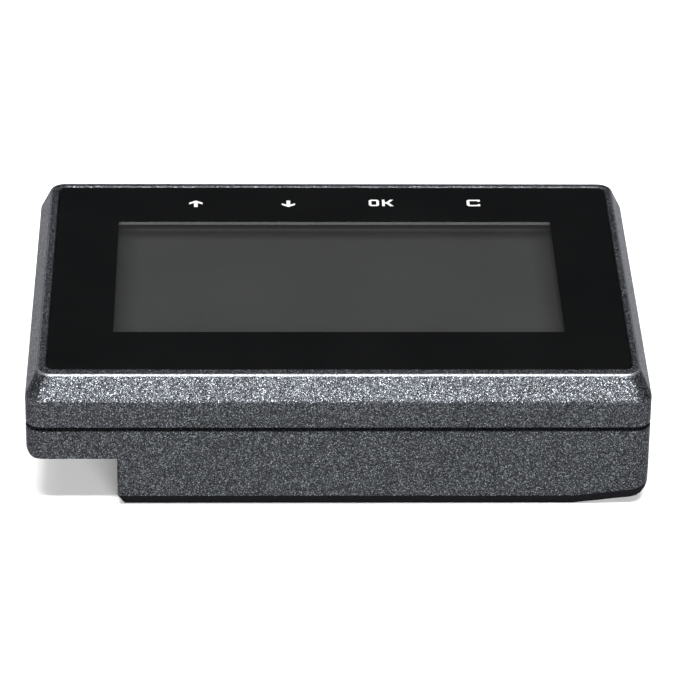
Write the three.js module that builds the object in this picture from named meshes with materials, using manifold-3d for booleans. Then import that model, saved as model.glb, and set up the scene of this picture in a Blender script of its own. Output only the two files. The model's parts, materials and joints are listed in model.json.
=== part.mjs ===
// Dashboard radar detector: a flat box with a black display panel on top, four push keys in its
// far wall, a radar horn looking out through a black base cover, and a cable notch at its left end.
// Millimetres. +X right, +Y towards the wall with the keys, +Z out of the display.
// It lies on its base, and the origin is under the middle of its bounding box.

import * as THREE from "three";
import { ConvexGeometry } from "three/addons/geometries/ConvexGeometry.js";
import { mergeVertices } from "three/addons/utils/BufferGeometryUtils.js";
import Module from "manifold-3d";

const wasm = await Module();
wasm.setup();

// ---------------------------------------------------------------- driving dimensions

const halfX = 47.5; // outer wall, half the width of 95
const halfY = 33.4; // outer wall, half the depth of 66.8
const wall = 1.8;
const cornerRadius = 2.6; // upright corners, seen from above

// Heights of the outer form, from the base up.
const seamZ = 1.82; // base cover meets lower shell
const lowerTopZ = 13.12; // lower shell's upper edge
const grooveHeight = 0.59; // shadow groove between the shells
const upperFootZ = lowerTopZ + grooveHeight;
const chamferFootZ = 18.22;
const chamferTopZ = 22.16;
const lipZ = 22.19; // top of the lip round the panel
const chamferInset = [1.8, 1.6]; // at the ends, along the sides
const rimInset = 3.05; // from the walls to the pocket, across chamfer, rim and lip
const lipFlat = 0.45; // the rim rises very slightly to this flat edge of the pocket
const tongueThickness = 1.4; // lower shell's tongue, inside the groove

// The left end of the lower shell is a shelf over the cable notch.
const notchX = -33.65;
const shelfZ = 8.38;
const shelfRadius = 1.5;

// The right end of the base rises at about 7 degrees and turns up round a corner.
const riseX = 36.0;
const riseSlope = 0.12;
const endRadius = 3.0;
const baseChamfer = 0.95;

// Panel and display stack.
const pocketHalf = [halfX - rimInset, halfY - rimInset];
const pocketCentre = [0.1, 0.25];
const panelGap = 0.15;
const lensThickness = 0.8;
const lensTopZ = lipZ - 0.1;
const lensBottomZ = lensTopZ - lensThickness;
const filmThickness = 0.1;
const film = [lensBottomZ - 0.01 - filmThickness, lensBottomZ - 0.01];
const windowHalf = [34.7, 18.3];
const windowCentre = [0.27, -0.05];
const tape = [film[0] - 0.32, film[0] - 0.02];
const ledgeZ = tape[0] - 0.02;
const cellTopZ = lensBottomZ - 0.6;
const cellThickness = 1.1;

// Main board and what stands under it.
const board = [12.2, 13.4];
const tongueInner = [halfX, halfY].map((h) => h - wall - tongueThickness);
const boardHalf = tongueInner.map((h) => h - 0.4);

// Push keys in the far wall, one behind each printed symbol.
const keyNames = ["up", "down", "ok", "cancel"];
const keyPitch = 15;
const keysCentreX = 0.4;
const keyHalf = [4.5, 1.3];
const keyZ = 16.1;
const keyProud = 0.5;
const keyGap = 0.25;
const plungerRadius = 0.9;

// Four long screws clamp base, lower shell and upper shell together.
const screwPlaces = [
  [-28.5, -27.6],
  [-28.5, 27.6],
  [32.5, -27.6],
  [32.5, 27.6],
];
const columnRadius = 2.3;
const columnFootZ = 3.1;
const headRadius = 1.9;

// ---------------------------------------------------------------- colours

const finish = {
  gunmetal: new THREE.MeshStandardMaterial({ color: 0x55595d, roughness: 0.45, metalness: 0.6 }),
  black: new THREE.MeshStandardMaterial({ color: 0x17181a, roughness: 0.6, metalness: 0 }),
  lens: new THREE.MeshStandardMaterial({ color: 0x0a0b0c, roughness: 0.05, metalness: 0 }),
  ink: new THREE.MeshStandardMaterial({ color: 0x050505, roughness: 0.7, metalness: 0 }),
  foam: new THREE.MeshStandardMaterial({ color: 0x202020, roughness: 0.9, metalness: 0 }),
  cell: new THREE.MeshStandardMaterial({ color: 0x424444, roughness: 0.2, metalness: 0 }),
  tinplate: new THREE.MeshStandardMaterial({ color: 0xb4b6b8, roughness: 0.35, metalness: 1 }),
  diffuser: new THREE.MeshStandardMaterial({ color: 0xe8e8e4, roughness: 0.6, metalness: 0 }),
  polyimide: new THREE.MeshStandardMaterial({ color: 0xb06a1c, roughness: 0.4, metalness: 0 }),
  laminate: new THREE.MeshStandardMaterial({ color: 0x0f4a2c, roughness: 0.5, metalness: 0 }),
  epoxy: new THREE.MeshStandardMaterial({ color: 0x1a1b1d, roughness: 0.55, metalness: 0 }),
  casting: new THREE.MeshStandardMaterial({ color: 0x9c9ea0, roughness: 0.5, metalness: 1 }),
  ceramic: new THREE.MeshStandardMaterial({ color: 0xcabf9f, roughness: 0.5, metalness: 0 }),
  brass: new THREE.MeshStandardMaterial({ color: 0xb89a52, roughness: 0.35, metalness: 1 }),
  steel: new THREE.MeshStandardMaterial({ color: 0x4a4b4d, roughness: 0.4, metalness: 1 }),
  paper: new THREE.MeshStandardMaterial({ color: 0x2a2826, roughness: 0.9, metalness: 0 }),
  smoked: new THREE.MeshStandardMaterial({ color: 0x2a0f12, roughness: 0.1, metalness: 0 }),
};

// ---------------------------------------------------------------- solids

// A closed geometry as a manifold-3d solid.
function solid(geometry) {
  const loose = geometry.index ? geometry.toNonIndexed() : geometry;
  const bare = new THREE.BufferGeometry();
  bare.setAttribute("position", loose.getAttribute("position"));
  const merged = mergeVertices(bare, 1e-4);
  const mesh = new wasm.Mesh({
    numProp: 3,
    vertProperties: merged.attributes.position.array,
    triVerts: new Uint32Array(merged.index.array),
  });
  return new wasm.Manifold(mesh);
}

// A manifold-3d solid as a geometry.
function geometryOf(shape) {
  const mesh = shape.getMesh();
  const geometry = new THREE.BufferGeometry();
  geometry.setAttribute("position", new THREE.BufferAttribute(mesh.vertProperties, 3));
  geometry.setIndex(new THREE.BufferAttribute(mesh.triVerts, 1));
  const flat = geometry.toNonIndexed();
  flat.computeVertexNormals();
  return flat;
}

function box([x0, x1], [y0, y1], [z0, z1]) {
  const geometry = new THREE.BoxGeometry(x1 - x0, y1 - y0, z1 - z0);
  geometry.translate((x0 + x1) / 2, (y0 + y1) / 2, (z0 + z1) / 2);
  return solid(geometry);
}

// A box from its middle and half sizes in X and Y.
function block([x, y], [dx, dy], z) {
  return box([x - dx, x + dx], [y - dy, y + dy], z);
}

function roundedRectangle(dx, dy, r) {
  const shape = new THREE.Shape();
  shape.absarc(dx - r, dy - r, r, 0, Math.PI / 2);
  shape.absarc(r - dx, dy - r, r, Math.PI / 2, Math.PI);
  shape.absarc(r - dx, r - dy, r, Math.PI, 1.5 * Math.PI);
  shape.absarc(dx - r, r - dy, r, 1.5 * Math.PI, 2 * Math.PI);
  return shape;
}

// A plate with round upright corners.
function plate([dx, dy], r, [z0, z1], [x, y] = [0, 0], segments = 6) {
  const settings = { depth: z1 - z0, bevelEnabled: false, curveSegments: segments };
  const geometry = new THREE.ExtrudeGeometry(roundedRectangle(dx, dy, r), settings);
  geometry.translate(x, y, z0);
  return solid(geometry);
}

// An outline in X and Z, extruded along Y.
function extrudeAlongY(shape, [y0, y1]) {
  const settings = { depth: y1 - y0, bevelEnabled: false, curveSegments: 6 };
  const geometry = new THREE.ExtrudeGeometry(shape, settings);
  geometry.rotateX(Math.PI / 2);
  geometry.translate(0, y1, 0);
  return solid(geometry);
}

// An outline in Y and Z, extruded along X.
function extrudeAlongX(shape, [x0, x1]) {
  const settings = { depth: x1 - x0, bevelEnabled: false, curveSegments: 6 };
  const geometry = new THREE.ExtrudeGeometry(shape, settings);
  geometry.rotateX(Math.PI / 2);
  geometry.rotateZ(Math.PI / 2);
  geometry.translate(x0, 0, 0);
  return solid(geometry);
}

function polygon(points) {
  return new THREE.Shape(points.map(([a, b]) => new THREE.Vector2(a, b)));
}

// A cylinder along Z, or along X or Y if asked.
function rod([a, b], r, [from, to], axis = "z", sides = 24) {
  const geometry = new THREE.CylinderGeometry(r, r, to - from, sides);
  const middle = (from + to) / 2;
  if (axis === "z") geometry.rotateX(Math.PI / 2).translate(a, b, middle);
  if (axis === "y") geometry.translate(a, middle, b);
  if (axis === "x") geometry.rotateZ(Math.PI / 2).translate(middle, a, b);
  return solid(geometry);
}

// A turned solid about an upright axis, from a profile of [radius, height] points that
// starts and ends on the axis or else closes on itself.
function turned([x, y], profile, sides = 28) {
  const points = profile.map(([r, z]) => new THREE.Vector2(r, z));
  const closing = profile[0][0] > 0 ? [points[0].clone()] : [];
  const geometry = new THREE.LatheGeometry([...points, ...closing], sides);
  geometry.rotateX(Math.PI / 2);
  geometry.translate(x, y, 0);
  return solid(geometry);
}

// The points of a rounded rectangle, at a height that may change with x.
function ring([x0, x1], dy, [rLeft, rRight], heightAt, steps = 8) {
  const corners = [
    [x1 - rRight, dy - rRight, rRight, 0],
    [x0 + rLeft, dy - rLeft, rLeft, 1],
    [x0 + rLeft, rLeft - dy, rLeft, 2],
    [x1 - rRight, rRight - dy, rRight, 3],
  ];
  const points = [];
  for (const [cx, cy, r, quarter] of corners) {
    for (let i = 0; i <= steps; i++) {
      const angle = ((quarter + i / steps) * Math.PI) / 2;
      const x = cx + r * Math.cos(angle);
      const y = cy + r * Math.sin(angle);
      points.push(new THREE.Vector3(x, y, heightAt(x)));
    }
  }
  return points;
}

function hull(...rings) {
  return solid(new ConvexGeometry(rings.flat()));
}

function union(...shapes) {
  return shapes.reduce((sum, next) => sum.add(next));
}

const detector = new THREE.Group();
detector.position.y = -keyProud / 2; // centres the bounding box, which the keys make longer

function part(name, shape, material) {
  const mesh = new THREE.Mesh(geometryOf(shape), material);
  mesh.name = name;
  detector.add(mesh);
}

// ---------------------------------------------------------------- upper shell

const keyPlaces = keyNames.map((name, i) => ({
  name,
  x: keysCentreX + (i - 1.5) * keyPitch,
}));

// Hollow inside of a shell, with the wall taken off all round.
function cavityPlate([z0, z1]) {
  return plate([halfX - wall, halfY - wall], 1.2, [z0, z1]);
}

function upperShell() {
  const level = (dx, dy, r, z) => ring([-dx, dx], dy, [r, r], () => z);
  const lipRing = level(pocketHalf[0] + lipFlat, pocketHalf[1] + lipFlat, 1.7, lipZ);
  const form = hull(
    level(halfX, halfY, cornerRadius, upperFootZ),
    level(halfX, halfY, cornerRadius, chamferFootZ),
    level(halfX - chamferInset[0], halfY - chamferInset[1], 2.2, chamferTopZ),
    lipRing.map((p) => p.add(new THREE.Vector3(...pocketCentre, 0))),
  );
  const ledgeThickness = 1.5;
  const pocket = plate(pocketHalf, 1.6, [ledgeZ, lipZ + 1], pocketCentre);
  const opening = plate([41.9, 27.9], 1.0, [ledgeZ - 3, ledgeZ + 1]);
  const hollow = cavityPlate([upperFootZ - 1, ledgeZ - ledgeThickness]);
  let shell = form.subtract(union(pocket, opening, hollow));
  for (const [x, y] of screwPlaces) {
    const column = rod([x, y], columnRadius, [columnFootZ, ledgeZ - ledgeThickness + 0.3], "z", 16);
    const pilot = rod([x, y], 1.15, [columnFootZ - 1, 13], "z", 12);
    shell = shell.add(column).subtract(pilot);
  }
  for (const { x } of keyPlaces) {
    const slot = box(
      [x - keyHalf[0] - keyGap, x + keyHalf[0] + keyGap],
      [halfY - wall - 1, halfY + 1],
      [keyZ - keyHalf[1] - keyGap, keyZ + keyHalf[1] + keyGap],
    );
    shell = shell.subtract(slot);
  }
  return shell;
}

part("upper_shell", upperShell(), finish.gunmetal);

// ---------------------------------------------------------------- lower shell and base cover

// Height of the seam between lower shell and base cover, which follows the rise at the right end.
const seamAt = (x) => seamZ + Math.max(0, x - riseX) * riseSlope;

// The deep part of the lower body, from the base to the groove, before it is split at the seam.
function deepForm() {
  const square = 0.35;
  const endX = halfX - endRadius;
  const endZ = (endX - riseX) * riseSlope + endRadius * Math.hypot(1, riseSlope);
  const cornerX = halfX - cornerRadius;
  const wallFootAt = (x) => seamAt(x) + Math.max(0, x - cornerX) ** 2 * 0.4;
  const rings = [
    ring([notchX, halfX], halfY, [square, cornerRadius], () => lowerTopZ),
    ring([notchX, riseX], halfY, [square, 0.1], () => seamZ),
    ring([notchX, halfX], halfY, [square, cornerRadius], wallFootAt),
    ring([notchX + baseChamfer, riseX], halfY - baseChamfer, [square, 0.1], () => 0),
  ];
  const turnAngle = Math.PI / 2 - Math.atan(riseSlope);
  for (let i = 0; i <= 5; i++) {
    const angle = (turnAngle * i) / 5;
    const x = endX + endRadius * Math.cos(angle);
    const z = endZ - endRadius * Math.sin(angle);
    const plan = Math.sqrt(cornerRadius ** 2 - Math.max(0, x - cornerX) ** 2);
    const dy = halfY - cornerRadius + plan - baseChamfer * Math.sin(angle);
    rings.push([new THREE.Vector3(x, dy, z), new THREE.Vector3(x, -dy, z)]);
  }
  return hull(...rings);
}

// What lies above the seam, as a block.
function aboveSeam(lift) {
  const far = halfX + 5;
  const outline = polygon([
    [-60, seamZ + lift],
    [riseX, seamZ + lift],
    [far, seamAt(far) + lift],
    [far, 30],
    [-60, 30],
  ]);
  return extrudeAlongY(outline, [-40, 40]);
}

// The shelf over the cable notch, with a round lower edge at its left end.
function shelfForm() {
  const outline = new THREE.Shape();
  outline.moveTo(-halfX, lowerTopZ);
  outline.lineTo(-halfX, shelfZ + shelfRadius);
  outline.absarc(shelfRadius - halfX, shelfZ + shelfRadius, shelfRadius, Math.PI, 1.5 * Math.PI);
  outline.lineTo(notchX + 4, shelfZ);
  outline.lineTo(notchX + 4, lowerTopZ);
  const plan = plate([halfX, halfY], cornerRadius, [0, lowerTopZ + 5]);
  return extrudeAlongY(outline, [-halfY, halfY]).intersect(plan);
}

// The lower body's hollow, open above and below.
function lowerHollow() {
  const inside = polygon([
    [wall - halfX, shelfZ + 1.6],
    [notchX + wall, shelfZ + 1.6],
    [notchX + wall, -2],
    [44.6, -2],
    [44.6, 5.2],
    [halfX - wall, 6.3],
    [halfX - wall, 20],
    [wall - halfX, 20],
  ]);
  return extrudeAlongY(inside, [wall - halfY, halfY - wall]).intersect(cavityPlate([-2, 20]));
}

// Sockets in the notch's wall: a round power inlet and a data socket.
const inlet = { y: -12, z: 5.0, noseRadius: 2.6, boreRadius: 2.0, pinRadius: 0.65 };
const socket = { y: 3, z: 5.85, half: [3.85, 1.95], plate: 0.35 };

// Power slide switch in the right wall.
const slider = { y: [4.0, 7.5], z: [9.55, 11.25], travel: 2.0 };

function lowerShell() {
  const outer = union(deepForm().intersect(aboveSeam(0)), shelfForm());
  const tongueFootZ = 10.9;
  const tongueTopZ = 14.4;
  const thickening = plate([halfX - 1, halfY - 1], 1.8, [tongueFootZ, lowerTopZ]);
  const rise = plate([halfX - wall - 0.2, halfY - wall - 0.2], 1.0, [lowerTopZ - 0.5, tongueTopZ]);
  const tongue = union(thickening, rise).subtract(plate(tongueInner, 0.6, [tongueFootZ - 1, tongueTopZ + 1]));
  const inletHole = rod([inlet.y, inlet.z], inlet.noseRadius + 0.2, [notchX - 1, notchX + 3], "x");
  const socketHole = box(
    [notchX - 1, notchX + 3],
    [socket.y - socket.half[0] - 0.3, socket.y + socket.half[0] + 0.3],
    [socket.z - socket.half[1] - 0.3, socket.z + socket.half[1] + 0.3],
  );
  const switchSlot = box([42, 50], [slider.y[0] - 0.5, slider.y[1] + slider.travel + 0.5], [9.3, 11.5]);
  const switchPocket = box([halfX - 0.8, 50], [1.5, 11.5], [8.6, 12.2]);
  return outer
    .subtract(lowerHollow())
    .add(tongue)
    .subtract(union(inletHole, socketHole, switchSlot, switchPocket));
}

part("lower_shell", lowerShell(), finish.gunmetal);

// Speaker, laser receiver and horn all look out through the base cover.
const speakerPlace = [-4, -17];
const laserPlace = [-24, 21];
const hornPlace = [7, 11];
const labelPlace = [16, 11];
const labelHalf = [17, 9];

function baseCover() {
  const plateThickness = 1.6;
  const belowSeam = deepForm().subtract(aboveSeam(-0.1));
  const thinning = union(
    box([notchX + wall + 0.2, 33], [wall + 0.2 - halfY, halfY - wall - 0.2], [plateThickness, 4]),
    box([33, 44.4], [wall + 0.2 - halfY, halfY - wall - 0.2], [plateThickness + 1.2, 4]),
  );
  const lipOuter = [44.4, halfY - wall - 0.2];
  const lipInner = [43.2, halfY - wall - 1.4];
  const left = notchX + wall + 0.2;
  let cover = belowSeam.subtract(thinning);
  const lip = box([left, lipOuter[0]], [-lipOuter[1], lipOuter[1]], [1.2, 3.0]);
  const lipCut = box([left - 1, lipInner[0]], [-lipInner[1], lipInner[1]], [0, 4]);
  cover = cover.add(lip.subtract(lipCut));
  for (const place of screwPlaces) {
    cover = cover.add(rod(place, 2.7, [1.0, columnFootZ - 0.1], "z", 16));
    cover = cover.subtract(rod(place, headRadius + 0.25, [-1, 1.5], "z", 20));
    cover = cover.subtract(rod(place, 1.2, [-1, 5], "z", 12));
  }
  const slotCount = 7;
  for (let i = 0; i < slotCount; i++) {
    const offset = (i - (slotCount - 1) / 2) * 2.4;
    const length = Math.sqrt(9.5 ** 2 - offset ** 2);
    const place = [speakerPlace[0], speakerPlace[1] + offset];
    cover = cover.subtract(plate([length, 0.6], 0.58, [-1, 3], place, 3));
  }
  const lensHole = rod(laserPlace, 4.0, [-1, 3]);
  const labelRecess = plate(labelHalf, 1.0, [-1, 0.3], labelPlace);
  return cover.subtract(union(lensHole, labelRecess));
}

part("base_cover", baseCover(), finish.black);
const labelSheet = plate(labelHalf.map((h) => h - 0.2), 0.9, [0.08, 0.28], labelPlace);
part("blank_label", labelSheet, finish.diffuser);

// ---------------------------------------------------------------- display panel

const lensHalf = pocketHalf.map((h) => h - panelGap);
part("panel_lens", plate(lensHalf, 1.5, [lensBottomZ, lensTopZ], pocketCentre), finish.lens);

function printedMask() {
  const sheet = plate(lensHalf.map((h) => h - 0.1), 1.4, film, pocketCentre);
  return sheet.subtract(block(windowCentre, windowHalf, [film[0] - 1, film[1] + 1]));
}

part("printed_mask", printedMask(), finish.ink);

function panelTape() {
  const sheet = plate(lensHalf.map((h) => h - 0.2), 1.3, tape, pocketCentre);
  return sheet.subtract(plate([42.3, 28.3], 1.0, [tape[0] - 1, tape[1] + 1]));
}

part("panel_tape", panelTape(), finish.foam);

// ---------------------------------------------------------------- display module

const cell = { half: [36.3, 20.9], z: [cellTopZ - cellThickness, cellTopZ] };
const bezel = { half: [38, 22.25], z: [cellTopZ - cellThickness, film[0] - 0.07] };

function displayBezel() {
  const frame = plate(bezel.half, 0.6, bezel.z, windowCentre);
  const opening = [windowHalf[0] + 0.3, windowHalf[1] + 0.95];
  const view = block(windowCentre, opening, [cellTopZ - 3, 30]);
  const seat = block(windowCentre, cell.half.map((h) => h + 0.2), [cellTopZ - 3, cellTopZ + 0.05]);
  return frame.subtract(union(view, seat));
}

part("display_bezel", displayBezel(), finish.tinplate);
part("display_cell", block(windowCentre, cell.half, cell.z), finish.cell);

const backlightZ = [16.2, cell.z[0] - 0.05];
part("backlight", block(windowCentre, [36.5, 21], backlightZ), finish.diffuser);

// The flat cable turns down from the cell's near edge to its connector on the board.
function displayFlex() {
  const thickness = 0.2;
  const topZ = cell.z[0] - 0.3;
  const footZ = board[1] + 1.5;
  const turn = { y: -22.5, z: (topZ + footZ) / 2, r: (topZ - footZ) / 2 };
  const outer = turn.r + thickness / 2;
  const inner = turn.r - thickness / 2;
  const outline = new THREE.Shape();
  outline.moveTo(-21.4, turn.z + outer);
  outline.lineTo(turn.y, turn.z + outer);
  outline.absarc(turn.y, turn.z, outer, Math.PI / 2, 1.5 * Math.PI);
  outline.lineTo(-19.6, turn.z - outer);
  outline.lineTo(-19.6, turn.z - inner);
  outline.lineTo(turn.y, turn.z - inner);
  outline.absarc(turn.y, turn.z, inner, 1.5 * Math.PI, Math.PI / 2, true);
  outline.lineTo(-21.4, turn.z + inner);
  return extrudeAlongX(outline, [-11, 11]);
}

part("display_flex", displayFlex(), finish.polyimide);
part("display_connector", block([0, -17.4], [13, 2], [board[1] + 0.02, 15.3]), finish.epoxy);

// ---------------------------------------------------------------- main board

function mainBoard() {
  const clear = columnRadius + 0.4;
  let sheet = plate(boardHalf, 1.0, board);
  for (const [x, y] of screwPlaces) {
    const yRange = y > 0 ? [y - clear, 40] : [-40, y + clear];
    sheet = sheet.subtract(box([x - clear, x + clear], yRange, [board[0] - 1, board[1] + 1]));
  }
  return sheet;
}

part("main_board", mainBoard(), finish.laminate);

const onTop = (height) => [board[1] + 0.02, board[1] + 0.02 + height];
const underneath = (height) => [board[0] - 0.02 - height, board[0] - 0.02];
part("processor", block([-20, 4], [6, 6], onTop(1.4)), finish.epoxy);
part("memory_chip", block([-4, 5], [3, 2.5], onTop(1.2)), finish.epoxy);
part("audio_amplifier", block([9, -6], [2.5, 2], onTop(1.2)), finish.epoxy);
part("receiver_shield", plate([10, 7], 0.6, onTop(2.2), [26, 6]), finish.tinplate);
part("crystal", plate([1.6, 1.2], 0.4, onTop(0.9), [-10.5, 10]), finish.tinplate);
part("power_inductor", plate([3.2, 3.2], 1.2, underneath(3.2), [-12, 23]), finish.epoxy);
part("supply_capacitor", rod([35.5, 14], 3.15, underneath(6.8)), finish.tinplate);
part("backup_cell", rod([16.5, -17], 6.2, underneath(2.4), "z", 28), finish.casting);

// ---------------------------------------------------------------- radar horn

function hornAntenna() {
  const [x, y] = hornPlace;
  const level = (dx, dy, z) => ring([x - dx, x + dx], dy, [0.6, 0.6], () => z, 2);
  const shifted = (points) => points.map((p) => p.clone().setY(p.y + y));
  const mouth = [19, 14];
  const throat = [6.0, 3.2];
  const z = [2.2, 9.4];
  const outer = hull(
    shifted(level(mouth[0] + 1, mouth[1] + 1, z[0])),
    shifted(level(mouth[0] + 1, mouth[1] + 1, z[0] + 1.2)),
    shifted(level(throat[0] + 2, throat[1] + 2, z[1])),
  );
  const inner = hull(
    shifted(level(mouth[0], mouth[1], z[0] - 0.1)),
    shifted(level(throat[0], throat[1], z[1] - 1.4)),
  );
  const guide = block(hornPlace, throat, [z[1] - 2, z[1] + 1]);
  return outer.subtract(union(inner, guide));
}

part("horn_antenna", hornAntenna(), finish.casting);
part("mixer_board", plate([12, 9], 0.6, [9.5, 10.3], hornPlace), finish.laminate);
part("mixer_shield", plate([10.5, 7.5], 0.6, [10.35, 12.0], hornPlace), finish.tinplate);

// ---------------------------------------------------------------- satellite antenna, laser receiver, speaker

const patchPlace = [32.5, -14];
part("satellite_board", plate([9.4, 9.4], 0.5, [7.2, 8.0], patchPlace), finish.laminate);
part("satellite_patch", plate([9, 9], 0.8, [3.1, 7.1], patchPlace), finish.ceramic);

part("laser_lens", turned(laserPlace, [
  [0, 0.15],
  [2.6, 0.35],
  [3.8, 0.7],
  [3.8, 2.4],
  [0, 2.4],
]), finish.smoked);

function laserHolder() {
  const cup = rod(laserPlace, 4.6, [2.5, 8.6]);
  return cup.subtract(rod(laserPlace, 3.4, [1, 7.4]));
}

part("laser_holder", laserHolder(), finish.epoxy);
part("laser_diode", rod(laserPlace, 2.6, [5.4, 7.2], "z", 20), finish.smoked);

part("speaker_basket", turned(speakerPlace, [
  [9.6, 1.8],
  [11, 1.8],
  [11, 2.9],
  [7.0, 4.6],
  [7.0, 5.0],
  [5.6, 5.0],
  [5.6, 4.2],
  [9.6, 2.7],
]), finish.steel);
part("speaker_cone", turned(speakerPlace, [
  [0, 2.6],
  [3.0, 2.9],
  [3.6, 3.7],
  [9.2, 1.9],
  [9.2, 2.2],
  [3.7, 4.0],
  [0, 4.0],
]), finish.paper);
part("speaker_magnet", rod(speakerPlace, 5.2, [4.3, 7.2], "z", 28), finish.casting);

// ---------------------------------------------------------------- sockets at the notch

part("socket_board", plate([6.7, 16], 0.6, [8.0, 9.0], [-24.7, -4]), finish.laminate);
part("board_header", block([-20.7, -2], [1.25, 8], [9.02, board[0] - 0.02]), finish.epoxy);

function powerInlet() {
  const body = box([-31.6, -22.5], [inlet.y - 4.2, inlet.y + 4.2], [2.0, 7.9]);
  const nose = rod([inlet.y, inlet.z], inlet.noseRadius, [notchX + 0.15, -31], "x");
  const bore = rod([inlet.y, inlet.z], inlet.boreRadius, [notchX - 1, -24.5], "x");
  return union(body, nose).subtract(bore);
}

part("power_inlet", powerInlet(), finish.epoxy);
part("power_pin", rod([inlet.y, inlet.z], inlet.pinRadius, [notchX + 1.2, -24.55], "x", 16), finish.brass);

function dataSocket() {
  const [dy, dz] = socket.half;
  const shrink = socket.plate;
  const outline = (inset) => {
    const shape = new THREE.Shape();
    shape.moveTo(socket.y - dy + inset, socket.z + dz - inset);
    shape.lineTo(socket.y - dy + inset, socket.z - 0.2);
    shape.lineTo(socket.y - dy + 0.9 + inset, socket.z - dz + inset);
    shape.lineTo(socket.y + dy - 0.9 - inset, socket.z - dz + inset);
    shape.lineTo(socket.y + dy - inset, socket.z - 0.2);
    shape.lineTo(socket.y + dy - inset, socket.z + dz - inset);
    return shape;
  };
  const shell = extrudeAlongX(outline(0), [notchX + 0.2, -24.6]);
  return shell.subtract(extrudeAlongX(outline(shrink), [notchX - 1, -25.2]));
}

part("data_socket", dataSocket(), finish.tinplate);
part(
  "data_tongue",
  box([notchX + 1.0, -25.3], [socket.y - 2.5, socket.y + 2.5], [socket.z + 0.1, socket.z + 0.9]),
  finish.epoxy,
);

// ---------------------------------------------------------------- power switch

function switchBody() {
  const body = box([39.2, 44.1], [1.5, 11.5], underneath(3.5));
  const track = box([43.0, 45], [slider.y[0] - 0.3, slider.y[1] + slider.travel + 0.3], [9.3, 11.5]);
  return body.subtract(track);
}

function switchKnob() {
  const knobFace = halfX - 0.15;
  let knob = box([43.3, knobFace], slider.y, slider.z);
  const ridges = 3;
  for (let i = 0; i < ridges; i++) {
    const y = (slider.y[0] + slider.y[1]) / 2 + (i - 1) * 0.9;
    knob = knob.subtract(box([knobFace - 0.3, knobFace + 1], [y - 0.2, y + 0.2], [9, 12]));
  }
  return knob;
}

part("power_switch", switchBody(), finish.epoxy);
part("power_knob", switchKnob(), finish.black);

// ---------------------------------------------------------------- keys

const flangeFrontY = halfY - wall - 0.35;
const capBackY = flangeFrontY - 0.9;
const tactY = [capBackY - 4.3, capBackY - 0.5];

function keyCap(x) {
  const [dx, dz] = keyHalf;
  const facePlate = new THREE.ExtrudeGeometry(roundedRectangle(dx, dz, 0.6), {
    depth: halfY + keyProud - capBackY - 0.8,
    bevelEnabled: false,
    curveSegments: 3,
  });
  facePlate.rotateX(Math.PI / 2).translate(x, halfY + keyProud, keyZ);
  const flange = box([x - dx - 0.9, x + dx + 0.9], [capBackY, flangeFrontY], [14.7, 17.9]);
  return solid(facePlate).add(flange);
}

function tactSwitch(x) {
  const body = box([x - 3, x + 3], tactY, [board[1] + 0.02, 17.6]);
  return body.subtract(rod([x, keyZ], plungerRadius + 0.2, [tactY[0] + 1.6, tactY[1] + 1], "y", 16));
}

for (const { name, x } of keyPlaces) {
  part(`key_${name}`, keyCap(x), finish.black);
  part(`switch_${name}`, tactSwitch(x), finish.epoxy);
  const plunger = rod([x, keyZ], plungerRadius, [tactY[0] + 2.2, capBackY - 0.02], "y", 16);
  part(`plunger_${name}`, plunger, finish.diffuser);
}

// ---------------------------------------------------------------- screws

function screw(place) {
  const head = rod(place, headRadius, [0.2, 1.45], "z", 20);
  const shank = rod(place, 0.95, [1.4, 11.5], "z", 12);
  const cross = union(block(place, [1.1, 0.25], [0, 0.8]), block(place, [0.25, 1.1], [0, 0.8]));
  return union(head, shank).subtract(cross);
}

screwPlaces.forEach((place, i) => part(`screw_${i + 1}`, screw(place), finish.steel));

export default detector;
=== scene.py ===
"""Looks of a dashboard radar detector: sparkle-painted shells, a glossy black panel with its display,
and small black fittings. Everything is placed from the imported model, in metres."""

import json
import math

import bmesh
import bpy
from mathutils import Matrix, Vector


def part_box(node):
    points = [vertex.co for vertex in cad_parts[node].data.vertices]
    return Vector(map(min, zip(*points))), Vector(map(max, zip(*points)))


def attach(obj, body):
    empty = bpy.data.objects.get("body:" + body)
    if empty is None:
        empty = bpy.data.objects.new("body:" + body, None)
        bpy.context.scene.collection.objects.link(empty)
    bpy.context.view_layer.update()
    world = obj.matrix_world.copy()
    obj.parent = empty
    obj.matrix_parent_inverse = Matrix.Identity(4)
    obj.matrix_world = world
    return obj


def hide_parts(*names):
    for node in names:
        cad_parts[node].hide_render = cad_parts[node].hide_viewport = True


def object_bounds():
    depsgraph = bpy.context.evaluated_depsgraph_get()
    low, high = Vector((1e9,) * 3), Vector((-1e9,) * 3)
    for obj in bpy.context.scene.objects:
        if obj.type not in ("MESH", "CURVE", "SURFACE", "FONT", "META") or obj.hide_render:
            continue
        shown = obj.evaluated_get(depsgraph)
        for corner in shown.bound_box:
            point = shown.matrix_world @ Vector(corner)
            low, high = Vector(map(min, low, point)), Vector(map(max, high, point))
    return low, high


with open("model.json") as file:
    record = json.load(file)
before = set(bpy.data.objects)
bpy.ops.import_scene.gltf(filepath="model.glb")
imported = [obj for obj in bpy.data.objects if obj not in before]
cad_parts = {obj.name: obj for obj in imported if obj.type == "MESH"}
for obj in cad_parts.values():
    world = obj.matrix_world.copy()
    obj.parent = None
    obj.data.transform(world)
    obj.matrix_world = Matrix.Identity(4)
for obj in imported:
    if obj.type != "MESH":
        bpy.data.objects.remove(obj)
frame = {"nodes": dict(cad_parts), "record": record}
cad_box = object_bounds()
nodes = frame["nodes"]
body_of = {
    node: body
    for body, members in frame["record"]["behaviour"]["bodies"].items()
    for node in members
}
slot_of = {s["node"]: s["material_slot"] for s in frame["record"]["subparts"]}

MM = 0.001
bpy.context.scene.view_settings.view_transform = "Standard"


# ---------------------------------------------------------------- camera, floor and light

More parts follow.
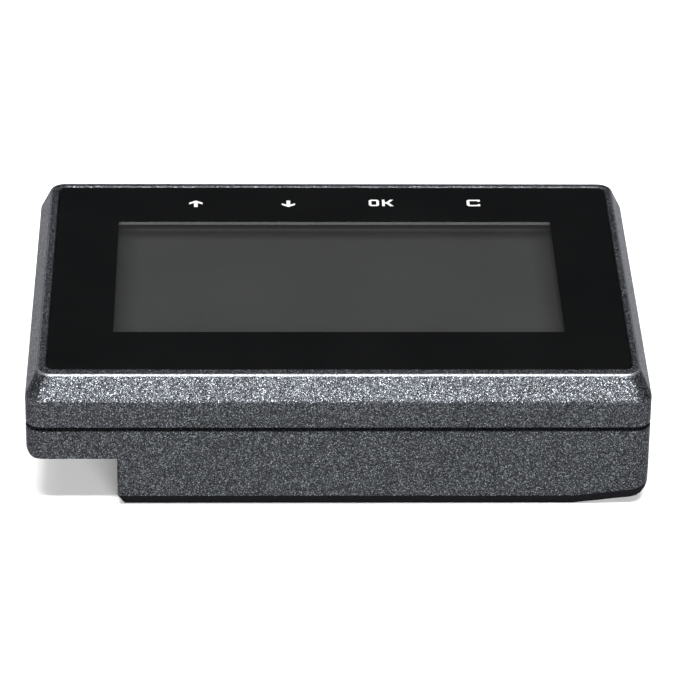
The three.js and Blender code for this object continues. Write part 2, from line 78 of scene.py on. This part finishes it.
PITCH = math.radians(29)
PAN = math.radians(1.365)
LENS = 228.4
# The camera's place, measured from the middle of the case and the height of its rim.
CAMERA_LEFT = 15.4 * MM
CAMERA_NEAR = 598.2 * MM
CAMERA_UP = 319.9 * MM
FLOOR_GAP = 0.02 * MM


def make_camera():
    """A long lens, a little left of the middle, turned slightly to the right."""
    data = bpy.data.cameras.new("camera")
    data.sensor_width = 36
    data.lens = LENS
    data.clip_end = 10
    camera = bpy.data.objects.new("camera", data)
    bpy.context.scene.collection.objects.link(camera)
    low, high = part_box("upper_shell")
    middle = (low + high) / 2
    camera.location = (middle.x - CAMERA_LEFT, middle.y - CAMERA_NEAR, high.z + CAMERA_UP)
    forward = Vector((0, math.cos(PITCH), -math.sin(PITCH)))
    up = Vector((0, math.sin(PITCH), math.cos(PITCH)))
    right = forward.cross(up)
    forward = math.cos(PAN) * forward + math.sin(PAN) * right
    right = forward.cross(up)
    axes = Matrix((right, up, -forward)).transposed()
    camera.rotation_mode = "QUATERNION"
    camera.rotation_quaternion = axes.to_quaternion()
    bpy.context.scene.camera = camera


def make_floor():
    bm = bmesh.new()
    bmesh.ops.create_grid(bm, x_segments=1, y_segments=1, size=6)
    mesh = bpy.data.meshes.new("floor")
    bm.to_mesh(mesh)
    bm.free()
    floor = bpy.data.objects.new("floor", mesh)
    floor.location.z = cad_box[0].z - FLOOR_GAP
    bpy.context.scene.collection.objects.link(floor)
    material = bpy.data.materials.new("floor")
    material.use_nodes = True
    shader = material.node_tree.nodes["Principled BSDF"]
    shader.inputs["Base Color"].default_value = (0.45, 0.45, 0.45, 1)
    shader.inputs["Roughness"].default_value = 0.9
    shader.inputs["Specular IOR Level"].default_value = 0.0
    mesh.materials.append(material)


def area_light(name, place, target, size, power):
    data = bpy.data.lights.new(name, "AREA")
    data.shape = "RECTANGLE"
    data.size, data.size_y = size
    data.energy = power
    light = bpy.data.objects.new(name, data)
    light.location = place
    light.rotation_mode = "QUATERNION"
    light.rotation_quaternion = (Vector(target) - Vector(place)).to_track_quat("-Z", "Y")
    bpy.context.scene.collection.objects.link(light)


def make_light():
    world = bpy.data.worlds.new("world")
    world.use_nodes = True
    sky = world.node_tree.nodes["Background"]
    sky.inputs["Color"].default_value = (0.86, 0.93, 1.0, 1)
    sky.inputs["Strength"].default_value = 0.06
    bpy.context.scene.world = world
    area_light("overhead", (0, 0.25, 1.6), (0, 0, 0), (1.6, 1.2), 26)
    area_light("edge", (0, -0.55, 1.5), (0, 0, 0.02), (0.9, 0.18), 70)
    area_light("front", (0, -1.2, 0.5), (0, 0, 0.02), (1.0, 0.3), 50)
    area_light("back", (0, 1.2, 1.1), (0, 0, 0.02), (1.4, 0.4), 6)
    area_light("left", (-1.2, -0.1, 0.5), (0, 0, 0.02), (0.6, 0.9), 1.6)


# ---------------------------------------------------------------- materials


class Tree:
    """A material's node tree, with short ways to add and join its nodes."""

    def __init__(self, name):
        self.material = bpy.data.materials.new(name)
        self.material.use_nodes = True
        self.nodes = self.material.node_tree.nodes
        self.links = self.material.node_tree.links
        self.shader = self.nodes["Principled BSDF"]
        self.place = self.nodes.new("ShaderNodeTexCoord").outputs["Object"]

    def set(self, **values):
        for name, value in values.items():
            self.shader.inputs[name.replace("_", " ")].default_value = value

    def fill(self, sockets, values):
        """Gives each socket its value, or a link where the value is another node's output."""
        for socket, value in zip(sockets, values):
            if isinstance(value, bpy.types.NodeSocket):
                self.links.new(value, socket)
            else:
                socket.default_value = value

    def noise(self, scale, detail=2.0):
        node = self.nodes.new("ShaderNodeTexNoise")
        node.inputs["Scale"].default_value = scale
        node.inputs["Detail"].default_value = detail
        self.links.new(self.place, node.inputs["Vector"])
        return node.outputs["Fac"]

    def cells(self, scale):
        """A random colour for each cell of a fine crystalline pattern."""
        node = self.nodes.new("ShaderNodeTexVoronoi")
        node.inputs["Scale"].default_value = scale
        self.links.new(self.place, node.inputs["Vector"])
        return node.outputs["Color"]

    def flakes(self, scale):
        """A random number for each of those cells."""
        split = self.nodes.new("ShaderNodeSeparateColor")
        self.links.new(self.cells(scale), split.inputs["Color"])
        return split.outputs["Red"]

    def ramp(self, value, stops):
        """Colours along a value; each stop is (position, grey or rgb)."""
        node = self.nodes.new("ShaderNodeValToRGB")
        elements = node.color_ramp.elements
        while len(elements) < len(stops):
            elements.new(0.5)
        for element, (position, colour) in zip(elements, stops):
            rgb = (colour,) * 3 if isinstance(colour, float) else colour
            element.position = position
            element.color = (*rgb, 1)
        self.links.new(value, node.inputs["Fac"])
        return node.outputs["Color"]

    def span(self, value, low, high):
        """A value from 0 to 1 spread between two limits."""
        node = self.nodes.new("ShaderNodeMapRange")
        node.inputs["To Min"].default_value = low
        node.inputs["To Max"].default_value = high
        self.links.new(value, node.inputs["Value"])
        return node.outputs["Result"]

    def blend(self, factor, a, b, mode="MIX"):
        node = self.nodes.new("ShaderNodeMix")
        node.data_type = "RGBA"
        node.blend_type = mode
        self.fill((node.inputs[0], node.inputs[6], node.inputs[7]), (factor, a, b))
        return node.outputs[2]

    def vector_math(self, operation, *values):
        node = self.nodes.new("ShaderNodeVectorMath")
        node.operation = operation
        self.fill(node.inputs, values)
        return node.outputs["Vector"]

    def colour(self, value):
        self.links.new(value, self.shader.inputs["Base Color"])

    def roughness(self, value):
        self.links.new(value, self.shader.inputs["Roughness"])

    def tilt(self, scale, amount):
        """Leans the surface normal by a random amount in each cell of a fine crystalline pattern."""
        centred = self.vector_math("SUBTRACT", self.cells(scale), (0.5, 0.5, 0.5))
        normal = self.nodes.new("ShaderNodeNewGeometry").outputs["Normal"]
        leaning = self.vector_math("MULTIPLY_ADD", centred, (amount, amount, amount), normal)
        self.links.new(self.vector_math("NORMALIZE", leaning), self.shader.inputs["Normal"])

    def bump(self, height, distance):
        node = self.nodes.new("ShaderNodeBump")
        node.inputs["Distance"].default_value = distance
        self.links.new(height, node.inputs["Height"])
        self.links.new(node.outputs["Normal"], self.shader.inputs["Normal"])


# The flakes' cells per metre, for their shade, their gloss and their tilt.
SHADE_CELLS = 8300
GLOSS_CELLS = 7400
TILT_CELLS = 8100
PAINT = {"Metallic": 0.8, "Specular_Tint": (0.30, 0.31, 0.34, 1)}


def sparkle_paint():
    """Gunmetal paint: each tiny metal flake has its own shade, and lies at its own slight tilt."""
    t = Tree("sparkle_paint")
    t.set(**PAINT)
    shades = [
        (0.0, (0.004, 0.004, 0.005)),
        (0.5, (0.016, 0.017, 0.019)),
        (0.85, (0.044, 0.047, 0.051)),
        (1.0, (0.145, 0.155, 0.165)),
    ]
    cloud = t.ramp(t.noise(90), [(0.3, 0.93), (0.7, 1.0)])
    t.colour(t.blend(1.0, t.ramp(t.flakes(SHADE_CELLS), shades), cloud, "MULTIPLY"))
    t.roughness(t.span(t.flakes(GLOSS_CELLS), 0.24, 0.40))
    t.tilt(TILT_CELLS, 0.44)
    return t.material


def paint_for_painted_highlight():
    """A paler version of the paint with flatter flakes: a painted highlight for the bright line on the
    rim's crease.
    """
    t = Tree("sparkle_paint_painted_highlight")
    t.set(**PAINT)
    shades = [(0.0, (0.060, 0.063, 0.068)), (1.0, (0.15, 0.155, 0.165))]
    t.colour(t.ramp(t.flakes(SHADE_CELLS), shades))
    t.roughness(t.span(t.flakes(GLOSS_CELLS), 0.26, 0.34))
    t.tilt(TILT_CELLS, 0.12)
    return t.material


def plain(name, rgb, rough, metallic=0.0, grain=900, depth=0.01, spread=0.12, **values):
    """A moulded, cast or rolled surface: soft variation in colour and roughness over a fine grain."""
    t = Tree(name)
    t.set(Metallic=metallic, **values)
    low = tuple(c * (1 - spread) for c in rgb)
    high = tuple(min(1, c * (1 + spread)) for c in rgb)
    t.colour(t.ramp(t.noise(260, 3.0), [(0.3, low), (0.7, high)]))
    t.roughness(t.span(t.noise(grain * 0.7), rough * 0.8, min(1, rough * 1.2)))
    t.bump(t.noise(grain, 3.0), depth * MM)
    return t.material


def black_glass():
    """The panel where it is printed black behind: deep gloss with a trace of handling."""
    t = Tree("black_print")
    t.set(IOR=1.49)
    t.colour(t.ramp(t.noise(60), [(0.35, 0.0004), (0.75, 0.0008)]))
    t.roughness(t.span(t.noise(140, 4.0), 0.045, 0.10))
    t.bump(t.noise(420, 1.0), 0.0006 * MM)
    return t.material


def clear_window():
    """The panel where it is unprinted, over the display."""
    t = Tree("panel_glass")
    t.set(IOR=1.49, Alpha=0.22)
    t.colour(t.ramp(t.noise(60), [(0.35, 0.010), (0.75, 0.013)]))
    t.roughness(t.span(t.noise(140, 4.0), 0.04, 0.08))
    return t.material


DOT_PITCH = 0.27 * MM


def display_face():
    """An unlit display: satin grey, with a pale strip along its ledge at the far edge. The darkening at
    the sides is painted shade, and the dark band inside the pale strip is a painted shadow.
    """
    t = Tree("display_face")
    t.set(Specular_IOR_Level=0.12)
    low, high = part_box("display_cell")
    spot = t.nodes.new("ShaderNodeSeparateXYZ")
    t.links.new(t.nodes.new("ShaderNodeTexCoord").outputs["Generated"], spot.inputs["Vector"])
    # Painted shade: the display grows darker towards its left and right edges, where the recess shades
    # it.
    side = 1.5 * MM / (high.x - low.x)
    fade = 5.2 * MM / (high.x - low.x)
    across = [(side, 0.3), (fade, 1.0), (1 - fade, 1.0), (1 - side, 0.3)]
    # (millimetres from the far edge, shade): the pale strip of the ledge, then a painted shadow fading
    # out further in
    steps = [(6.3, 1.0), (4.8, 0.42), (3.2, 0.36), (3.0, 1.02), (1.0, 1.02)]
    along = [(1 - d * MM / (high.y - low.y), shade) for d, shade in steps]
    painted_side_shade = t.ramp(spot.outputs["X"], across)
    shade = t.blend(1.0, painted_side_shade, t.ramp(spot.outputs["Y"], along), "MULTIPLY")
    dots = t.nodes.new("ShaderNodeTexBrick")
    dots.offset = 0
    dots.inputs["Scale"].default_value = 1.0
    dots.inputs["Mortar Size"].default_value = 0.02 * MM
    dots.inputs["Brick Width"].default_value = DOT_PITCH
    dots.inputs["Row Height"].default_value = DOT_PITCH
    dots.inputs["Color1"].default_value = (0.0215, 0.0222, 0.0226, 1)
    dots.inputs["Color2"].default_value = (0.0205, 0.0215, 0.0219, 1)
    dots.inputs["Mortar"].default_value = (0.0186, 0.0194, 0.0198, 1)
    t.links.new(t.place, dots.inputs["Vector"])
    face = t.blend(0.35, dots.outputs["Color"], t.ramp(t.noise(30), [(0.3, 0.019), (0.7, 0.0222)]))
    t.colour(t.blend(1.0, face, shade, "MULTIPLY"))
    t.roughness(t.span(t.noise(2500), 0.42, 0.52))
    t.bump(t.noise(5200), 0.002 * MM)
    return t.material


def bezel_metal():
    """Bright blasted sheet, with its upright faces coloured near black as painted shade on the inner
    wall.
    """
    t = Tree("bezel_metal")
    t.set(Specular_IOR_Level=0.15)
    upright = t.nodes.new("ShaderNodeSeparateXYZ")
    t.links.new(t.nodes.new("ShaderNodeNewGeometry").outputs["True Normal"], upright.inputs["Vector"])
    sheet = t.ramp(t.noise(2600, 2.0), [(0.3, 0.24), (0.7, 0.38)])
    # Painted shade: faces that stand upright, such as the shaded inner wall, are made near black.
    cut = t.ramp(upright.outputs["Z"], [(0.45, 0.02), (0.75, 1.0)])
    t.colour(t.blend(1.0, sheet, cut, "MULTIPLY"))
    t.roughness(t.span(t.noise(1900), 0.5, 0.7))
    t.bump(t.noise(2300), 0.006 * MM)
    return t.material


MATERIALS = {
    "sparkle_paint": sparkle_paint(),
    "black_print": black_glass(),
    "panel_glass": clear_window(),
    "display_face": display_face(),
    "black_plastic": plain(
        "black_plastic", (0.0018, 0.0017, 0.0023), 0.6, grain=2600, depth=0.010, Specular_IOR_Level=0.02
    ),
    "label_film": plain("label_film", (0.52, 0.52, 0.51), 0.35, grain=1500, depth=0.002, spread=0.03),
    "foam_tape": plain("foam_tape", (0.012, 0.012, 0.012), 0.9, grain=3000, depth=0.04),
    "bezel_metal": bezel_metal(),
    "tinplate": plain("tinplate", (0.52, 0.53, 0.54), 0.32, 1.0, grain=1800, depth=0.003, spread=0.08),
    "white_plastic": plain("white_plastic", (0.78, 0.78, 0.75), 0.5, spread=0.04),
    "amber_film": plain("amber_film", (0.42, 0.15, 0.02), 0.35, spread=0.15),
    "component_black": plain("component_black", (0.014, 0.014, 0.015), 0.55, grain=3200, depth=0.01),
    "board_laminate": plain("board_laminate", (0.006, 0.07, 0.03), 0.38, grain=1200, depth=0.006),
    "cast_metal": plain("cast_metal", (0.36, 0.37, 0.38), 0.5, 1.0, grain=1400, depth=0.02),
    "ceramic": plain("ceramic", (0.6, 0.53, 0.36), 0.7, grain=2200, depth=0.01),
    "pin_brass": plain("pin_brass", (0.62, 0.44, 0.14), 0.28, 1.0, depth=0.002),
    "dark_steel": plain("dark_steel", (0.075, 0.075, 0.08), 0.38, 1.0, grain=1800, depth=0.005),
    "cone_paper": plain("cone_paper", (0.022, 0.021, 0.02), 0.92, grain=1100, depth=0.06),
    "smoked_lens": plain(
        "smoked_lens", (0.020, 0.004, 0.005), 0.07, grain=300, depth=0.0005, Coat_Weight=0.5
    ),
}


def white_ink():
    return plain("white_ink", (0.26, 0.26, 0.26), 0.5, grain=2400, depth=0.002, spread=0.02)


# ---------------------------------------------------------------- pieces


def add_piece(name, mesh, node):
    """A finished mesh as a piece that rides with a CAD node's body."""
    piece = bpy.data.objects.new(name, mesh)
    bpy.context.scene.collection.objects.link(piece)
    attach(piece, body_of[node])
    return piece


# How far two faces turn at an edge that is rounded, and at the crease round the rim, in degrees.
EDGE_TURN = 17
CREASE_TURN = (50, 80)
CREASE_SEGMENTS = 7
# Faces that turn by less than this are one flat face; points closer than the gap are one point.
FLAT_TURN = 0.5
SAME_POINT = 0.002 * MM


def round_edges(piece, width, segments, marks=None):
    """Rounds the edges that an edge attribute marks, to the full width; without an attribute it
    rounds every edge that turns by more than EDGE_TURN degrees, by as much as its shortest neighbour
    allows. The width is in millimetres."""
    bevel = piece.modifiers.new("edges", "BEVEL")
    bevel.width = width * MM
    bevel.segments = segments
    bevel.miter_outer = "MITER_ARC"
    if marks:
        bevel.limit_method = "WEIGHT"
        bevel.edge_weight = marks
        bevel.use_clamp_overlap = False
    else:
        bevel.limit_method = "ANGLE"
        bevel.angle_limit = math.radians(EDGE_TURN)
    return bevel


def mark_outer_edges(bm):
    """Marks the upper shell's edges on its outside, and apart from them the crease round its rim."""
    side_depth = 1.2 * MM
    rim_depth = 2 * MM
    outer = bm.edges.layers.float.new("outer")
    crease = bm.edges.layers.float.new("crease")
    low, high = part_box("upper_shell")
    for edge in bm.edges:
        turn = math.degrees(edge.calc_face_angle_signed(0))
        middle = (edge.verts[0].co + edge.verts[1].co) / 2
        from_side = min(min(middle[axis] - low[axis], high[axis] - middle[axis]) for axis in (0, 1))
        if from_side < side_depth or high.z - middle.z < rim_depth:
            if CREASE_TURN[0] < turn < CREASE_TURN[1]:
                edge[crease] = 1
            elif turn > EDGE_TURN:
                edge[outer] = 1


def soften(node, width, segments=3, highlight_paint=None):
    """Replaces a CAD node by its own shape with flat faces made whole and edges rounded.

    The paler paint of the painted highlight is only for the upper shell, and goes on the crease round
    its rim.
    """
    mesh = nodes[node].data.copy()
    mesh.materials.clear()
    bm = bmesh.new()
    bm.from_mesh(mesh)
    bmesh.ops.remove_doubles(bm, verts=bm.verts, dist=SAME_POINT)
    flat = math.radians(FLAT_TURN)
    bmesh.ops.dissolve_limit(bm, angle_limit=flat, verts=bm.verts, edges=bm.edges)
    for face in bm.faces:
        face.smooth = True
    if highlight_paint:
        mark_outer_edges(bm)
    bm.to_mesh(mesh)
    bm.free()
    piece = add_piece(f"{node}_skin", mesh, node)
    mesh.materials.append(MATERIALS[slot_of[node]])
    if highlight_paint:
        mesh.materials.append(highlight_paint)
        round_edges(piece, width, CREASE_SEGMENTS, "crease").material = 1
        round_edges(piece, width, segments, "outer")
    else:
        round_edges(piece, width, segments)
    piece.modifiers.new("shading", "WEIGHTED_NORMAL").weight = 90
    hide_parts(node)


def rounded_outline(low, high, radius, steps=10):
    """Points round a rectangle with rounded corners, anticlockwise from its right side."""
    left, right = low.x + radius, high.x - radius
    bottom, top = low.y + radius, high.y - radius
    points = []
    for quarter, (x, y) in enumerate(((right, top), (left, top), (left, bottom), (right, bottom))):
        for i in range(steps + 1):
            angle = (quarter + i / steps) * math.pi / 2
            points.append((x + radius * math.cos(angle), y + radius * math.sin(angle)))
    return points


def make_panel():
    """The front panel as one slab: black printed all round, clear over the display."""
    corner = 1.5 * MM
    window_corner = 0.12 * MM
    edge = 0.09 * MM  # the small bevel along the front edge
    clear = 1.9 * MM  # how much wider the clear part is at the back
    clear_corner = 0.3 * MM
    low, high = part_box("panel_lens")
    seen_low, seen_high = window_limits()
    cut = Vector((edge, edge, 0))
    spread = Vector((clear, clear, 0))
    outer = rounded_outline(low, high, corner)
    inset = rounded_outline(low + cut, high - cut, corner - edge)
    inner = rounded_outline(seen_low, seen_high, window_corner)
    back = rounded_outline(seen_low - spread, seen_high + spread, clear_corner)
    bm = bmesh.new()
    rings = [
        [bm.verts.new((x, y, z)) for x, y in points]
        for points, z in (
            (back, low.z),
            (outer, low.z),
            (outer, high.z - edge),
            (inset, high.z),
            (inner, high.z),
        )
    ]
    for a, b in zip(rings, rings[1:]):
        for i in range(len(a)):
            j = (i + 1) % len(a)
            bm.faces.new((a[i], a[j], b[j], b[i]))
    bm.faces.new(rings[-1]).material_index = 1
    bm.faces.new(rings[0][::-1]).material_index = 1
    bmesh.ops.recalc_face_normals(bm, faces=bm.faces)
    mesh = bpy.data.meshes.new("front_panel")
    bm.to_mesh(mesh)
    bm.free()
    mesh.materials.append(MATERIALS["black_print"])
    mesh.materials.append(MATERIALS["panel_glass"])
    piece = add_piece("front_panel", mesh, "panel_lens")
    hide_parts("panel_lens", "printed_mask")


def window_limits():
    """The corners of the display window: the display's own box less what the print covers of it."""
    low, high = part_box("display_cell")
    covered = Vector((1.6, 2.6, 0)) * MM
    return low + covered, high - covered


# How far the symbols' middles lie from the panel's far edge.
ARROW_FROM_FAR = 5.8 * MM
LETTER_FROM_FAR = 5.45 * MM
# Half the thickness of the ink, and how far its middle lies above the panel.
INK_HALF = 0.006 * MM
INK_LIFT = 0.007 * MM
KEYS = ("up", "down", "ok", "cancel")

# Symbols are drawn in millimetres about their own middle.
ARROW = [
    (0, 1.12), (1.08, 0.38), (1.08, -0.16), (0.3, 0.28), (0.3, -1.12),
    (-0.3, -1.12), (-0.3, 0.28), (-1.08, -0.16), (-1.08, 0.38),
]
LETTER_C = [
    (-1.08, -0.8), (-0.75, -1.12), (1.08, -1.12), (1.08, -0.45), (0.66, -0.45), (0.66, -0.7),
    (-0.62, -0.7), (-0.62, 0.7), (0.66, 0.7), (0.66, 0.45), (1.08, 0.45), (1.08, 1.12),
    (-0.75, 1.12), (-1.08, 0.8),
]
LETTER_K = [
    (-0.86, -1.12), (-0.44, -1.12), (-0.44, -0.24), (-0.14, -0.24), (0.42, -1.12), (0.98, -1.12),
    (0.22, 0), (0.98, 1.12), (0.42, 1.12), (-0.14, 0.24), (-0.44, 0.24), (-0.44, 1.12), (-0.86, 1.12),
]
LETTER_O = [
    (-0.82, -0.8), (-0.5, -1.12), (0.5, -1.12), (0.82, -0.8),
    (0.82, 0.8), (0.5, 1.12), (-0.5, 1.12), (-0.82, 0.8),
]
INSIDE_O = [(-0.4, -0.7), (0.4, -0.7), (0.4, 0.7), (-0.4, 0.7)]


def symbol_mesh(name, x, y, z, strokes):
    """Flat ink round a place on the panel; each stroke is (shift to the right, outline)."""
    curve = bpy.data.curves.new(name, "CURVE")
    curve.dimensions = "2D"
    curve.fill_mode = "BOTH"
    curve.extrude = INK_HALF
    for shift, outline in strokes:
        spline = curve.splines.new("POLY")
        spline.points.add(len(outline) - 1)
        for point, (across, along) in zip(spline.points, outline):
            point.co = (x + (across + shift) * MM, y + along * MM, 0, 1)
        spline.use_cyclic_u = True
    loose = bpy.data.objects.new(f"{name}_outline", curve)
    loose.location.z = z
    bpy.context.scene.collection.objects.link(loose)
    bpy.context.view_layer.update()
    solid = loose.evaluated_get(bpy.context.evaluated_depsgraph_get())
    mesh = bpy.data.meshes.new_from_object(solid)
    mesh.transform(loose.matrix_world)
    mesh.materials.clear()
    bpy.data.objects.remove(loose)
    return mesh


def make_symbols():
    """White printed symbols near the panel's far edge, one in line with each key."""
    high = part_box("panel_lens")[1]
    arrow_y = high.y - ARROW_FROM_FAR
    letter_y = high.y - LETTER_FROM_FAR
    arrow_down = [(x, -y) for x, y in ARROW][::-1]
    drawn = {
        "up": (arrow_y, [(0, ARROW)]),
        "down": (arrow_y, [(0, arrow_down)]),
        "ok": (letter_y, [(-1.12, LETTER_O), (-1.12, INSIDE_O), (1.08, LETTER_K)]),
        "cancel": (letter_y, [(0.05, LETTER_C)]),
    }
    ink = white_ink()
    for key in KEYS:
        y, strokes = drawn[key]
        key_low, key_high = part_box(f"key_{key}")
        x = (key_low.x + key_high.x) / 2
        mesh = symbol_mesh(f"symbol_{key}", x, y, high.z + INK_LIFT, strokes)
        mesh.materials.append(ink)
        add_piece(f"symbol_{key}", mesh, "panel_lens")


# ---------------------------------------------------------------- the model


make_camera()
make_floor()
make_light()

for node, cad in nodes.items():
    cad.data.materials.clear()
    cad.data.materials.append(MATERIALS[slot_of[node]])

# The upper shell's rim crease gets the paler paint, a painted highlight.
soften("upper_shell", 0.26, 4, paint_for_painted_highlight())
soften("lower_shell", 0.14)
soften("base_cover", 0.12)
soften("power_knob", 0.1)
for key in KEYS:
    soften(f"key_{key}", 0.18, 4)
make_panel()
make_symbols()
